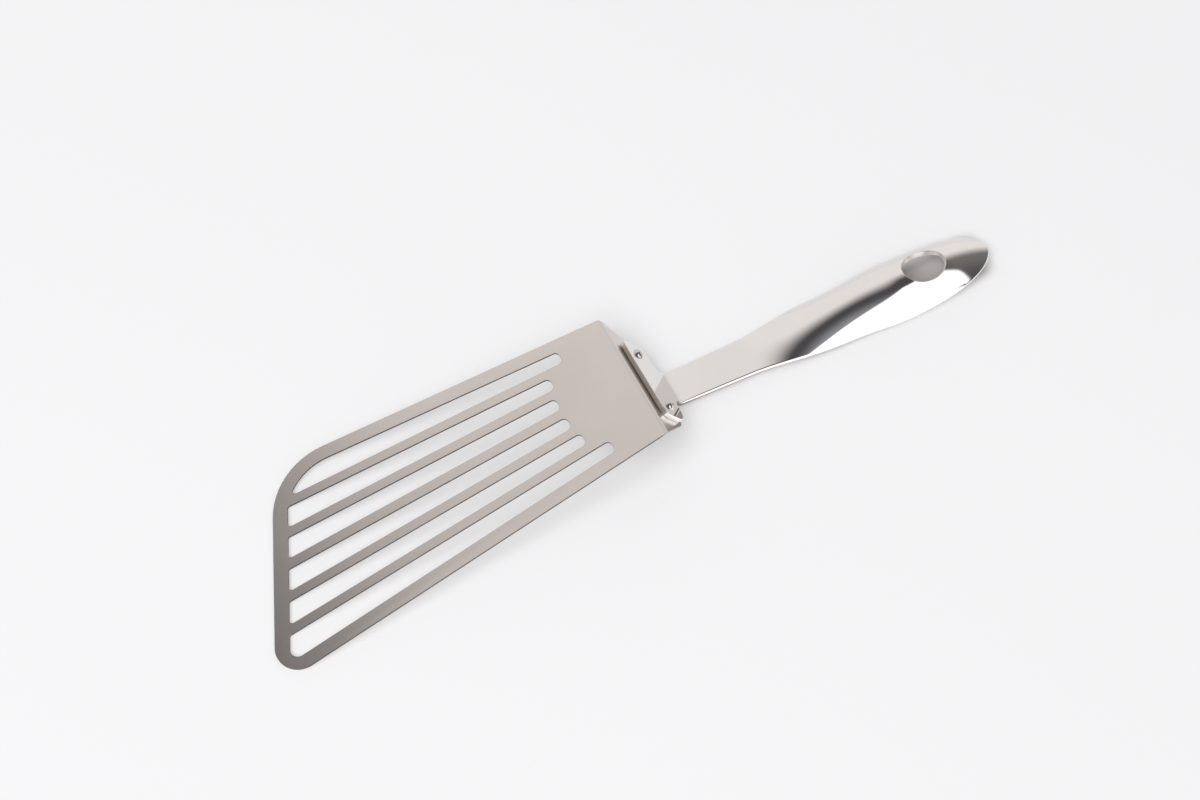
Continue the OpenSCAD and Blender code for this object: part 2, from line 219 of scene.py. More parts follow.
class SpatulaHandleSizes(bpy.types.PropertyGroup):
    sheet: length("Sheet", "Thickness of the handle's sheet", 2.0)
    edge_round: length("Edge rounding", "Radius of the polished long edges", 0.95)
    fine_round: length("Fine rounding", "Radius of the edges of the head and the hole", 0.22)
    tail_angle: angle("Tail angle", "Slope of the blade's tail, which the head lies on", 67.0)
    head_start: length("Head start", "From the tail's corner down to the head", 5.7)
    head_height: length("Head height", "Height of the head along the tail", 15.5)
    head_width: length("Head width", "Width of the head", 37.0)
    head_upper: length("Upper corners", "Radius of the head's upper corners", 4.0)
    head_lower: length("Lower corners", "Radius of the head's lower corners", 6.0)
    neck_fillet: length("Neck corners", "Radius between head and neck", 4.0)
    fold_drop: length("Fold drop", "From the tail's corner down to the fold", 27.4)
    fold_radius: length("Fold radius", "Radius of the fold on its inner side", 1.2)
    slope: angle("Strip slope", "Slope of the strip below the blade's plane", 10.8)
    neck_width: length("Neck width", "Width of the neck at the fold", 14.8)
    strip_length: length("Strip length", "From the fold to where the curl starts", 30.0)
    strip_width: length("Strip width", "Width of the strip where the curl starts", 16.2)
    # A hair longer than the solid's, because the nose's edge is rounded here
    total: length("Length", "From the fold to the nose", 137.75)
    curl_end: length("Curl end", "From the fold to where the sheet is fully curled", 82.4)
    curl_angle: angle("Curl", "Angle that each half of the sheet is curled through", 88.6)
    sheet_width: length("Sheet width", "Widest place of the sheet, round the curl", 40.8)
    sheet_peak: length("Widest at", "From the fold to where the sheet is widest", 95.7)
    nose_power: bpy.props.FloatProperty(
        name="Nose outline", description="Power of the outline at the nose: 2 gives an ellipse",
        default=1.66, min=1.2, max=3.0)
    nose_drop: length("Nose drop", "Height by which the crown drops towards the nose", 8.0)
    drop_power: bpy.props.FloatProperty(
        name="Drop power", description="How late the crown drops", default=3.7,
        min=1.0, max=6.0)
    hole_at: length("Hole at", "From the fold to the middle of the hanging hole", 108.0)
    hole_length: length("Hole length", "Length of the hanging hole", 18.1)
    hole_width: length("Hole width", "Width of the hanging hole", 13.5)
    hole_end: length("Hole ends", "Radius of the hanging hole's two ends", 4.5)
    steel: colour("Steel", "Colour of the polished steel", (0.80, 0.79, 0.785))
    # Warm tint: a painted reflection on the head's and the hole's sheared edges
    sheared_edge_painted_reflection: colour("Cut steel", "Colour of the head's and the hole's sheared edges",
                      (0.90, 0.81, 0.73))
    roughness: factor("Roughness", "How much the polish spreads the light", 0.07)


class SpatulaRivetSizes(bpy.types.PropertyGroup):
    drop: length("Drop", "From the head's upper edge to the rivets", 7.1)
    edge: length("Edge", "Distance from the head's sides to the rivets", 5.9)
    dome_width: length("Dome width", "Diameter of the domed heads", 4.4)
    dome_height: length("Dome height", "Height of the domed heads", 1.5)
    shank: length("Shank", "Diameter of the shanks", 3.2)
    foot_width: length("Foot width", "Diameter of the flat heads inside the tail", 5.0)
    foot_height: length("Foot height", "Height of the flat heads inside the tail", 0.9)
    blade_sheet: length("Blade sheet", "Thickness of the blade's sheet", 0.8)
    steel: colour("Steel", "Colour of the rivets", (0.60, 0.59, 0.585))
    roughness: factor("Roughness", "How much the rivets spread the light", 0.07)


class SpatulaStageSizes(bpy.types.PropertyGroup):
    table: colour("Table", "Colour of the pale table", (0.79, 0.785, 0.795))
    table_size: length("Table size", "Length of the table's sides", 6000.0)
    glow: factor("Glow", "Share of the table's tone that no shadow takes away", 0.36)
    fill: factor("Fill", "Strength of the even light from all round", 0.565, 3.0)
    lamp: bpy.props.FloatProperty(name="Lamp", description="Power of the soft lamp",
                                  default=90.0, min=0.0, unit="POWER")


# ---------------------------------------------------------------- materials

def material(name):
    """A new material and its empty node tree."""
    made = bpy.data.materials.new(name)
    made.use_nodes = True
    made.node_tree.nodes.clear()
    return made, Tree(made.node_tree)


def finish_material(tree, shader):
    tree.node("ShaderNodeOutputMaterial", Surface=shader.outputs[0])


def finish_metal(tree, steel, roughness, bump):
    shader = tree.node("ShaderNodeBsdfPrincipled", Base_Color=steel, Metallic=1.0,
                       Roughness=roughness, Normal=bump.outputs[0])
    finish_material(tree, shader)


def satin_steel(sizes, handle):
    """Fine satin steel: short strokes along the blade, faint clouds, a painted dark reflection
    on the sheared edges and painted shade along the joint with the head."""
    made, tree = material("satin_steel")
    place = tree.node("ShaderNodeTexCoord").outputs["Object"]
    # The strokes lie along the blade, so the pattern is stretched in its frame
    turned = tree.node("ShaderNodeMapping", {"vector_type": "TEXTURE"}, Vector=place,
                       Rotation=BLADE.to_euler(), Location=BLADE.translation)
    along = tree.node("ShaderNodeMapping", Vector=turned.outputs[0], Scale=(0.12, 1.0, 1.0))
    strokes = tree.noise(along.outputs[0], scale=5200.0, detail=3.0, roughness=0.6)
    speckle = tree.noise(place, scale=3600.0, roughness=0.6)
    clouds = tree.noise(place, scale=22.0, detail=3.0, roughness=0.55)
    grain = strokes * 0.65 + speckle * 0.35
    tone = tree.ramp(grain * 0.5 + clouds * 0.5, 0.36, 0.64)
    base = Vector(sizes.steel)
    steel = tree.colours(tone, base * 0.955, base * 1.03)
    cut = tree.cut_mark()
    # The sheared edges are rougher, and their colour holds a painted dark reflection
    steel = tree.colours(cut, steel, sizes.sheared_edge_painted_reflection)
    # Painted shade in the corner between the tail and the head's sheared edge. The
    # painted shade starts on the tail just above the head, and fades out before its rounded
    # ends
    x, y, z = tree.parts(turned.outputs[0])
    down = x * math.cos(handle.tail_angle) - z * math.sin(handle.tail_angle)
    top, side = handle.head_start, handle.head_width / 2
    joint = (tree.ramp(down, top - 3.4 * MM, top - 2.0 * MM)
             * tree.ramp(y.maths("ABSOLUTE"), side - 1.6 * MM, side - 4.0 * MM))
    steel = tree.colours(joint * 0.85, steel, sizes.joint_painted_shade)
    roughness = (sizes.roughness - 0.03) + grain * 0.06 + clouds * 0.03 + cut * 0.2
    bump = tree.node("ShaderNodeBump", Strength=sizes.grain * 0.16, Distance=0.00004,
                     Height=grain)
    finish_metal(tree, steel, roughness, bump)
    return made


def polished_steel(name, sizes, haze, sheared_edge_painted_reflection=None):
    """Mirror-polished steel with faint haze, hairline marks and, if asked, rough cut edges with
    a painted warm reflection.
    """
    made, tree = material(name)
    place = tree.node("ShaderNodeTexCoord").outputs["Object"]
    # The marks run along the handle, down its slope
    along = tree.node("ShaderNodeMapping", Vector=place, Scale=(0.15, 1.0, 1.0),
                      Rotation=(0.0, 0.19, 0.0))
    hairlines = tree.noise(along.outputs[0], scale=2600.0, detail=3.0, roughness=0.65)
    clouds = tree.noise(place, scale=60.0, detail=3.0)
    marks = tree.ramp(hairlines, 0.58, 0.72)
    base = Vector(sizes.steel)
    steel = tree.colours(tree.ramp(clouds, 0.3, 0.7), base * 0.985, base * 1.01)
    roughness = (sizes.roughness - haze) + clouds * (haze * 1.4) + marks * haze
    if sheared_edge_painted_reflection is not None:
        # The cut edges are rougher, and their colour holds a painted warm reflection
        cut = tree.cut_mark()
        steel = tree.colours(cut, steel, sheared_edge_painted_reflection)
        roughness = roughness + cut * 0.5
    bump = tree.node("ShaderNodeBump", Strength=0.012, Distance=0.00002, Height=hairlines)
    finish_metal(tree, steel, roughness, bump)
    return made


# Colours of the table: its painted shade under the grip, and its tone without shadows. Then
# the painted light and shade that the metal mirrors of it: to the north, to the south where the
# soft box lights it, past the nose, painted shade under the grip, and in the shade beside the
# neck
PAINTED_GRIP_SHADE = (0.10, 0.065, 0.06)
EVEN_TONE = (0.905, 0.895, 0.912)
MIRRORED_NORTH = (0.87, 0.857, 0.853)
MIRRORED_SOUTH = (1.35, 1.33, 1.32)
MIRRORED_EAST = (1.03, 1.0, 0.985)
MIRRORED_GRIP_SHADE = (0.5, 0.48, 0.475)
MIRRORED_BESIDE = (0.33, 0.28, 0.26)


def table_material(sizes):
    """Pale table with painted shade under the grip. The metal mirrors it as a painted glow,
    whiter on the soft box's side.
    """
    made, tree = material("pale_table")
    place = tree.node("ShaderNodeTexCoord").outputs["Object"]
    x, y, _ = tree.parts(place)
    south = tree.ramp(y, 0.0, -0.02)
    # Painted shade on the table under the grip, from where the sheet has curled to the nose
    off = (y + 0.001).maths("ABSOLUTE")
    under = (tree.ramp(off, 0.013, 0.006) * tree.ramp(x, 0.05, 0.085)
             * tree.ramp(x, 0.16, 0.15))
    # The table past the nose, and the table in the shade beside the neck
    far_east = tree.ramp(x + y * 0.3, 0.145, 0.175) * south
    beside = (tree.ramp(y, -0.0145, -0.0112) * tree.ramp(y, 0.002, -0.003)
              * tree.ramp(x, -0.01, 0.0) * tree.ramp(x, 0.07, 0.05))

    clouds = tree.noise(place, scale=9.0)
    pale = tree.colours(clouds, Vector(sizes.table) * 0.995, sizes.table)
    # Painted shade darkens the table under the grip, and the glow is left out there
    pale = tree.colours(under * 0.52, pale, PAINTED_GRIP_SHADE)
    grit = tree.node("ShaderNodeBump", Strength=0.02, Distance=0.0001,
                     Height=tree.noise(place, scale=1800.0))
    plain = tree.node("ShaderNodeBsdfDiffuse", Color=pale, Normal=grit.outputs[0])
    path = tree.node("ShaderNodeLightPath")
    glow = tree.node("ShaderNodeEmission", Color=(*EVEN_TONE, 1.0), Strength=1.0)
    share = tree.out(path, "Is Camera Ray") * sizes.glow * (1.0 - under)
    seen = tree.node("ShaderNodeMixShader", _0=share, _1=plain.outputs[0], _2=glow.outputs[0])

    # What the metal mirrors is painted light and shade: a glow that only reflections see
    lit = tree.colours(south, MIRRORED_NORTH, MIRRORED_SOUTH)
    for zone, tone in ((far_east, MIRRORED_EAST), (under, MIRRORED_GRIP_SHADE),
                       (beside, MIRRORED_BESIDE)):
        lit = tree.colours(zone, lit, tone)
    mirrored = tree.node("ShaderNodeEmission", Color=lit, Strength=1.0)
    both = tree.node("ShaderNodeMixShader", _0=path.outputs["Is Glossy Ray"],
                     _1=seen.outputs[0], _2=mirrored.outputs[0])
    finish_material(tree, both)
    return made


# ---------------------------------------------------------------- meshes

def clamp(value, low=0.0, high=1.0):
    return min(max(value, low), high)


def eased(share):
    """A share that starts and ends gently."""
    return share * share * (3 - 2 * share)


def piece_object(name, mesh):
    piece = bpy.data.objects.new(name, mesh)
    bpy.context.scene.collection.objects.link(piece)
    return piece


def settle(piece, place=None):
    """Applies the modifiers, and puts the finished mesh where it belongs."""
    graph = bpy.context.evaluated_depsgraph_get()
    mesh = bpy.data.meshes.new_from_object(piece.evaluated_get(graph), depsgraph=graph)
    piece.modifiers.clear()
    old, piece.data = piece.data, mesh
    bpy.data.meshes.remove(old)
    mesh.name = piece.name
    if place is not None:
        mesh.transform(place)


def round_edges(piece, radius, sharp, segments, share=lambda place: 1.0):
    """Rounds the edges that are sharper than so many degrees, each by the share of the
    radius that its place calls for."""
    bm = bmesh.new()
    bm.from_mesh(piece.data)
    weight = bm.edges.layers.float.new("bevel_weight_edge")
    for edge in bm.edges:
        if len(edge.link_faces) == 2 and edge.calc_face_angle() > math.radians(sharp):
            edge[weight] = share((edge.verts[0].co + edge.verts[1].co) / 2)
    bm.to_mesh(piece.data)
    bm.free()
    bevel = piece.modifiers.new("Rounded edges", "BEVEL")
    bevel.width = radius
    bevel.segments = segments
    bevel.limit_method = "WEIGHT"
    bevel.harden_normals = True
    # The clamp would shrink the whole piece's rounding to fit the one shortest edge
    bevel.use_clamp_overlap = False


def smooth_faces(mesh, sharp):
    """Shades the faces smooth, apart from edges that are sharper than so many degrees."""
    for face in mesh.polygons:
        face.use_smooth = True
    mesh.set_sharp_from_angle(angle=math.radians(sharp))


def mark_cut_faces(mesh, sizes, tail_angle):
    """Stores on each face how far it is turned out of the sheet: 1 on a sheared edge."""
    to_blade = BLADE.inverted()
    reach = sizes.bend_radius * math.tan(tail_angle / 2)
    marks = mesh.attributes.new("cut", "FLOAT", "FACE")
    for face in mesh.polygons:
        place = to_blade @ face.center
        turn = clamp(math.atan2(place.x + reach, place.z + sizes.bend_radius), 0.0, tail_angle)
        outward = BLADE.to_3x3() @ Vector((math.sin(turn), 0.0, math.cos(turn)))
        flatness = abs(face.normal.dot(outward))
        marks.data[face.index].value = clamp((0.8 - flatness) * 2.5)


def near_hole(sizes, place, margin):
    """Whether a place in the strip's frame is in the hanging hole or by its edge."""
    return math.hypot((place.x - sizes.hole_at) / (sizes.hole_length / 2 + margin),
                      place.y / (sizes.hole_width / 2 + margin)) < 1


def mark_sheared_faces(mesh, sizes, strip):
    """Stores on each face how rough it is and how much painted warm reflection it gets: 1 on
    the head's sheared edge, half in the hole.
    """
    up = (BLADE @ Matrix.Rotation(sizes.tail_angle, 4, "Y")).to_3x3() @ Vector((-1, 0, 0))
    to_strip = strip.inverted()
    marks = mesh.attributes.new("cut", "FLOAT", "FACE")
    for face in mesh.polygons:
        place = to_strip @ face.center
        if place.x < 0:
            marks.data[face.index].value = clamp(face.normal.dot(up) * 3 - 2)
        elif near_hole(sizes, place, 0.1 * MM):
            marks.data[face.index].value = 0.5


def ride_root(piece, slot, *nodes):
    """The piece stands for the nodes and rides on the one body. The slot is not used."""
    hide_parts(*nodes)
    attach(piece, "root")


def corner_arc(before, corner, after, radius, steps=9):
    """Points of a rounded corner of an outline."""
    before, corner, after = map(Vector, (before, corner, after))
    back, ahead = (before - corner).normalized(), (after - corner).normalized()
    half = back.angle(ahead) / 2
    centre = corner + (back + ahead).normalized() * radius / math.sin(half)
    start = corner + back * radius / math.tan(half) - centre
    end = corner + ahead * radius / math.tan(half) - centre
    turn = start.angle_signed(end)
    return [centre + Matrix.Rotation(-turn * i / steps, 2) @ start for i in range(steps + 1)]


class HandleForm:
    """The handle's sheet, laid flat. s runs along it from the fold and v across it."""

    # Columns of faces across the sheet, and the width of the two outer ones, which leaves
    # room to round the edges
    columns = 56
    rim = 1.25 * MM
    # Steps between rows: round the fold, along the flat strip and where the sheet curls
    fold_step, strip_step, curl_step = 0.25 * MM, 1.5 * MM, 0.6 * MM
    # The block of faces round the hole: sheet before and after the hole, and its rings
    before_hole, after_hole, rings = 5 * MM, 4 * MM, 14
    # Spokes from the middle of the nose to each of its sides
    spokes = 26

    def __init__(self, sizes):
        self.sizes = sizes
        self.fold_angle = sizes.tail_angle - sizes.slope
        self.fold_reach = sizes.fold_radius * math.tan(self.fold_angle / 2)
        self.fold_end = self.fold_reach - sizes.fold_radius * self.fold_angle
        self.spread = (sizes.strip_width - sizes.neck_width) / 2 / sizes.strip_length

    def full_half(self, s):
        """Half width of the sheet without its cut nose."""
        sizes = self.sizes
        if s <= sizes.strip_length:
            return sizes.neck_width / 2 + self.spread * max(s, 0.0)
        if s >= sizes.sheet_peak:
            return sizes.sheet_width / 2
        reach = sizes.sheet_peak - sizes.strip_length
        way = (s - sizes.strip_length) / reach
        share = eased(way)
        return (sizes.strip_width / 2 * (1 - share) + sizes.sheet_width / 2 * share
                + reach * self.spread * way * (1 - way) ** 2)

    def half(self, s):
        """Half width of the sheet, down to nothing at the nose."""
        sizes = self.sizes
        share = clamp((s - sizes.sheet_peak) / (sizes.total - sizes.sheet_peak))
        return self.full_half(s) * (1 - share ** sizes.nose_power) ** (1 / sizes.nose_power)

    def curl(self, s):
        """How sharply the sheet is curled, as 1 over the radius."""
        sizes = self.sizes
        way = clamp((s - sizes.strip_length) / (sizes.curl_end - sizes.strip_length))
        return sizes.curl_angle * eased(way) / self.full_half(s)

    def shares(self, s):
        """A row's columns, as shares of its half width."""
        inner = self.columns // 2 - 1
        high = [(1 - self.rim / self.half(s)) * j / inner for j in range(inner + 1)] + [1.0]
        return [-share for share in high[:0:-1]] + high

    def row(self, s):
        half = self.half(s)
        return [(s, half * share) for share in self.shares(s)]

    def head_outline(self):
        """Outline of the head from one end of the fold round to the other."""
        sizes = self.sizes
        shift = self.fold_end - (sizes.fold_drop - self.fold_reach)
        top, low = shift + sizes.head_start, shift + sizes.head_start + sizes.head_height
        side, neck = sizes.head_width / 2, sizes.neck_width / 2
        end = self.fold_end
        points = []
        for sign in (-1, 1):
            inner, outer = (low, sign * neck), (low, sign * side)
            upper = (top, sign * side)
            half = (corner_arc((end, sign * neck), inner, outer, sizes.neck_fillet)
                    + corner_arc(inner, outer, upper, sizes.head_lower)
                    + corner_arc(outer, upper, (top, 0), sizes.head_upper))
            points += half if sign < 0 else half[::-1]
        return points

    def hole_radius(self, turn):
        """Distance of the oval's edge from its middle, in a direction."""
        sizes = self.sizes
        a, b, r = sizes.hole_length / 2, sizes.hole_width / 2, sizes.hole_end
        end = a - r
        side = (end * end + b * b - r * r) / (2 * (b - r))
        c, s = abs(math.cos(turn)), abs(math.sin(turn))
        # A side arc is centred across the hole, and an end arc along it
        drop = side - b
        far = -drop * s + math.sqrt(side * side - (drop * c) ** 2)
        if far * c <= side * end / (side - r):
            return far
        return end * c + math.sqrt(r * r - (end * s) ** 2)

    def edge_share(self, place):
        """Share of the full rounding at a place: small on the head and at the hole, growing
        over the strip's first millimetres, and a little under full towards the nose."""
        sizes = self.sizes
        fine = sizes.fine_round / sizes.edge_round
        if near_hole(sizes, place, MM):
            return fine
        along = clamp(place.x / (5 * MM))
        most = clamp((sizes.total - 6 * MM - place.x) / (25 * MM), 0.85)
        return fine + (most - fine) * along


def handle_blank(form):
    """The flat sheet of the handle, with the hanging hole in it."""
    sizes = form.sizes
    bm = bmesh.new()
    full = bm.verts.layers.float.new("full_half")

    def vert(s, v):
        made = bm.verts.new((s, v, 0.0))
        made[full] = form.full_half(s)
        return made

    def bridge(first, second):
        for a, b, c, d in zip(first, second, second[1:], first[1:]):
            bm.faces.new((a, b, c, d))

    def between(start, end, step):
        """Even stations after the start and up to the end, at most a step apart."""
        count = max(1, math.ceil((end - start) / step))
        return [start + (end - start) * i / count for i in range(1, count + 1)]

    # Head, down to a row just short of the fold, and the rows from there to the hole's block
    hair = 0.3 * MM
    row = [vert(*p) for p in form.row(form.fold_end - hair)]
    outline = [vert(*p) for p in form.head_outline()]
    bm.faces.new(outline + row[::-1])
    block = (sizes.hole_at - sizes.hole_length / 2 - form.before_hole,
             sizes.hole_at + sizes.hole_length / 2 + form.after_hole)
    stations = ([form.fold_end] + between(form.fold_end, form.fold_reach, form.fold_step)
                + between(form.fold_reach, sizes.strip_length, form.strip_step)
                + between(sizes.strip_length, block[0], form.curl_step))
    for s in stations:
        following = [vert(*p) for p in form.row(s)]
        bridge(row, following)
        row = following

    # Block with the hole: rings from the oval out to the block's border
    low, high = [row[0]], [row[-1]]
    for s in between(block[0], block[1], form.curl_step)[:-1]:
        half = form.half(s)
        low.append(vert(s, -half))
        high.append(vert(s, half))
    far = [vert(*p) for p in form.row(block[1])]
    border = row + high[1:] + far[::-1] + low[:0:-1]
    rings = form.rings
    curl = form.curl(sizes.hole_at)
    edge_rise = math.sqrt(1 / curl ** 2 - sizes.hole_width ** 2 / 4)
    loops = []
    for made in border:
        # The oval is measured straight across the grip, at the height of the hole's long
        # sides, and laid out round the curled sheet as seen from the curl's axis
        s, v = made.co.x, made.co.y
        turn = math.atan2(v, s - sizes.hole_at)
        reach = form.hole_radius(turn)
        edge = (sizes.hole_at + reach * math.cos(turn),
                math.atan(reach * math.sin(turn) / edge_rise) / curl)
        loops.append([vert(edge[0] + (s - edge[0]) * t, edge[1] + (v - edge[1]) * t)
                      for t in (i / (rings + 1) for i in range(rings))] + [made])
    for first, second in zip(loops, loops[1:] + loops[:1]):
        for i in range(rings):
            bm.faces.new((first[i], second[i], second[i + 1], first[i + 1]))

    # Nose: spokes from the middle of the block's last row out to the cut edge
    middle = form.columns // 2
    shares = form.shares(block[1])[middle + 1:]
    reach = sizes.total - block[1]
    steps = form.spokes
    spokes = [far[middle::-1]]
    for i in range(1, 2 * steps):
        s = reach * math.sin(math.pi / 2 * (1 - abs(i / steps - 1)))
        v = math.copysign(form.half(block[1] + s), i - steps)
        spokes.append([far[middle]] + [vert(block[1] + s * t, v * t) for t in shares])
    spokes.append(far[middle:])
    for first, second in zip(spokes, spokes[1:]):
        bm.faces.new((first[0], first[1], second[1]))
        bridge(first[1:], second[1:])
    bmesh.ops.recalc_face_normals(bm, faces=bm.faces)
    if sum(face.normal.z for face in bm.faces) < 0:
        bmesh.ops.reverse_faces(bm, faces=bm.faces)
    mesh = bpy.data.meshes.new("handle_blank")
    bm.to_mesh(mesh)
    bm.free()
    return mesh


def group_tree(name, inputs):
    """A geometry tree with a geometry input and output and the named inputs."""
    group = bpy.data.node_groups.new(name, "GeometryNodeTree")
    group.interface.new_socket("Geometry", in_out="OUTPUT", socket_type="NodeSocketGeometry")
    group.interface.new_socket("Geometry", in_out="INPUT", socket_type="NodeSocketGeometry")
    for label in inputs:
        kind = "Material" if label == "Material" else "Float"
        group.interface.new_socket(label, in_out="INPUT", socket_type=f"NodeSocket{kind}")
    tree = Tree(group)
    given = tree.node("NodeGroupInput")
    return group, tree, {label: tree.out(given, label) for label in ("Geometry", *inputs)}


def end_tree(tree, geometry, given):
    """Turns instances into a mesh, and gives it its material."""
    joined = tree.node("GeometryNodeRealizeInstances", Geometry=geometry)
    coated = tree.node("GeometryNodeSetMaterial", Geometry=joined.outputs[0],
                       Material=given["Material"])
    tree.node("NodeGroupOutput", Geometry=coated.outputs[0])


def run_tree(piece, group, values):
    """Puts the tree on the piece and sets its inputs by their identifiers."""
    modifier = piece.modifiers.new(group.name, "NODES")
    modifier.node_group = group
    for item in group.interface.items_tree:
        if item.in_out == "INPUT" and item.name in values:
            modifier[item.identifier] = values[item.name]
    settle(piece)


def curl_tree():
    """Curls the flat sheet into the grip, folds the neck up to the tail and gives it a wall."""
    group, tree, given = group_tree("Curl and fold the sheet", (
        "Sheet", "Fold reach", "Fold radius", "Fold angle", "Curl start", "Curl end",
        "Curl angle", "Nose", "Nose drop", "Drop power", "Material"))
    s, v, _ = tree.parts(tree.node("GeometryNodeInputPosition").outputs[0])
    full = tree.out(tree.node("GeometryNodeInputNamedAttribute", {"data_type": "FLOAT"},
                              Name="full_half"))

    def sine_share(turn):
        """The sine over the turn, for a turn that is never quite 0."""
        return turn.maths("SINE") / turn

    # The turn of the whole half sheet and of each point; a hair is added so that the
    # flat strip is the same formula with a huge radius
    whole = tree.ramp(s, given["Curl start"], given["Curl end"], high=given["Curl angle"])
    whole = whole + 1e-5
    turn = whole * (v / full) + 1e-7
    side = v * sine_share(turn)
    sink = v * (turn * 0.5).maths("SINE") * sine_share(turn * 0.5)
    rise = full * (whole * 0.5).maths("SINE") * sine_share(whole * 0.5)
    rise = rise - given["Sheet"] * (1.0 - whole.maths("COSINE"))
    past = ((s - given["Curl end"]) / (given["Nose"] - given["Curl end"])).maths("MAXIMUM", 0.0)
    crown = rise - given["Nose drop"] * past ** given["Drop power"]

    # The fold: an arc from the strip up to the head, which lies on the tail
    back = given["Fold reach"] - s
    bend = (back / given["Fold radius"]).maths("MAXIMUM", 0.0).maths(
        "MINIMUM", given["Fold angle"])
    left = (back - given["Fold radius"] * given["Fold angle"]).maths("MAXIMUM", 0.0)
    along = (s.maths("MAXIMUM", given["Fold reach"]) - given["Fold radius"] * bend.maths("SINE")
             - left * bend.maths("COSINE"))
    lift = given["Fold radius"] * (1.0 - bend.maths("COSINE")) + left * bend.maths("SINE")
    face = tree.node("GeometryNodeSetPosition", Geometry=given["Geometry"],
                     Position=tree.vector(along, side, crown - sink + lift))

    # The wall: the sheet's lower face and its edges
    normal = tree.node("GeometryNodeInputNormal")
    wall = tree.node("GeometryNodeExtrudeMesh", {"mode": "FACES"}, Mesh=face.outputs[0],
                     Offset=normal.outputs[0], Offset_Scale=given["Sheet"] * -1.0,
                     Individual=False)
    turned = tree.node("GeometryNodeFlipFaces", Mesh=wall.outputs[0])
    both = tree.node("GeometryNodeJoinGeometry")
    for part in (face, turned):
        tree.tree.links.new(part.outputs[0], both.inputs[0])
    closed = tree.node("GeometryNodeMergeByDistance", Geometry=both.outputs[0], Distance=1e-7)
    end_tree(tree, closed.outputs[0], given)
    return group


def rivet_tree():
    """Sets one rivet at each end of a line across the tail."""
    group, tree, given = group_tree("Rivets along the tail",
                                    ("Spacing", "Down the tail", "Material"))
    line = tree.node("GeometryNodeMeshLine", {"mode": "OFFSET"}, Count=2,
                     Start_Location=tree.vector(given["Down the tail"], given["Spacing"] * -0.5,
                                                0.0),
                     Offset=tree.vector(0.0, given["Spacing"], 0.0))
    set_out = tree.node("GeometryNodeInstanceOnPoints", Points=line.outputs[0],
                        Instance=given["Geometry"])
    end_tree(tree, set_out.outputs[0], given)
    return group


def turned_mesh(name, profile, steps=40):
    """A closed turned piece round Z from (radius, height) points that start and end on Z."""
    bm = bmesh.new()
    rings = []
    for radius, height in profile:
        if radius == 0:
            rings.append([bm.verts.new((0.0, 0.0, height))])
            continue
        rings.append([bm.verts.new((radius * math.cos(2 * math.pi * i / steps),
                                    radius * math.sin(2 * math.pi * i / steps), height))
                      for i in range(steps)])
    for first, second in zip(rings, rings[1:]):
        for i in range(steps):
            j = (i + 1) % steps
            corners = [first[i % len(first)], first[j % len(first)],
                       second[j % len(second)], second[i % len(second)]]
            bm.faces.new(list(dict.fromkeys(corners)))
    bmesh.ops.recalc_face_normals(bm, faces=bm.faces)
    mesh = bpy.data.meshes.new(name)
    bm.to_mesh(mesh)
    bm.free()
    return mesh


# ---------------------------------------------------------------- operators

class SPATULA_OT_blade(bpy.types.Operator):
    """Dress the stamped blade and its bent tail in satin steel, with rounded edges"""
    bl_idname = "spatula.blade"
    bl_label = "Blade"

    def execute(self, context):
        sizes = context.scene.spatula_blade
        # The solid's loose triangles are joined, and flat neighbours become one face
        bm = bmesh.new()
        bm.from_mesh(frame["nodes"]["blade"].data)
        bmesh.ops.remove_doubles(bm, verts=bm.verts, dist=2e-6)
        bmesh.ops.dissolve_limit(bm, angle_limit=math.radians(0.6), verts=bm.verts,
                                 edges=bm.edges)
        mesh = bpy.data.meshes.new("blade_sheet")
        bm.to_mesh(mesh)
        bm.free()
        mesh.materials.clear()
        mesh.materials.append(satin_steel(sizes, context.scene.spatula_handle))
        piece = piece_object("blade_sheet", mesh)
        smooth_faces(mesh, sharp=30)
        round_edges(piece, sizes.edge_round, sharp=40, segments=2)
        settle(piece)
        mark_cut_faces(piece.data, sizes, context.scene.spatula_handle.tail_angle)
        ride_root(piece, "satin_steel", "blade")
        return {"FINISHED"}


class SPATULA_OT_handle(bpy.types.Operator):
    """Press the handle from one polished sheet: head, fold, strip and curled grip"""
    bl_idname = "spatula.handle"
    bl_label = "Handle"

    def execute(self, context):
        sizes = context.scene.spatula_handle
        form = HandleForm(sizes)
        piece = piece_object("handle_sheet", handle_blank(form))
        run_tree(piece, curl_tree(), {
            "Sheet": sizes.sheet, "Fold reach": form.fold_reach,
            "Fold radius": sizes.fold_radius, "Fold angle": form.fold_angle,
            "Curl start": sizes.strip_length, "Curl end": sizes.curl_end,
            "Curl angle": sizes.curl_angle, "Nose": sizes.total,
            "Nose drop": sizes.nose_drop, "Drop power": sizes.drop_power,
            "Material": polished_steel("polished_steel", sizes, 0.02, sizes.sheared_edge_painted_reflection)})
        smooth_faces(piece.data, sharp=40)
        round_edges(piece, sizes.edge_round, sharp=50, segments=4, share=form.edge_share)
        # From the strip's frame, whose origin is the fold's corner, to the table's
        corner = (Matrix.Rotation(sizes.tail_angle, 4, "Y")
                  @ Matrix.Translation((sizes.fold_drop, 0.0, sizes.sheet)))
        strip = Matrix.Translation(corner.translation) @ Matrix.Rotation(sizes.slope, 4, "Y")
        settle(piece, BLADE @ strip)
        mark_sheared_faces(piece.data, sizes, BLADE @ strip)
        ride_root(piece, "polished_steel", "handle")
        return {"FINISHED"}


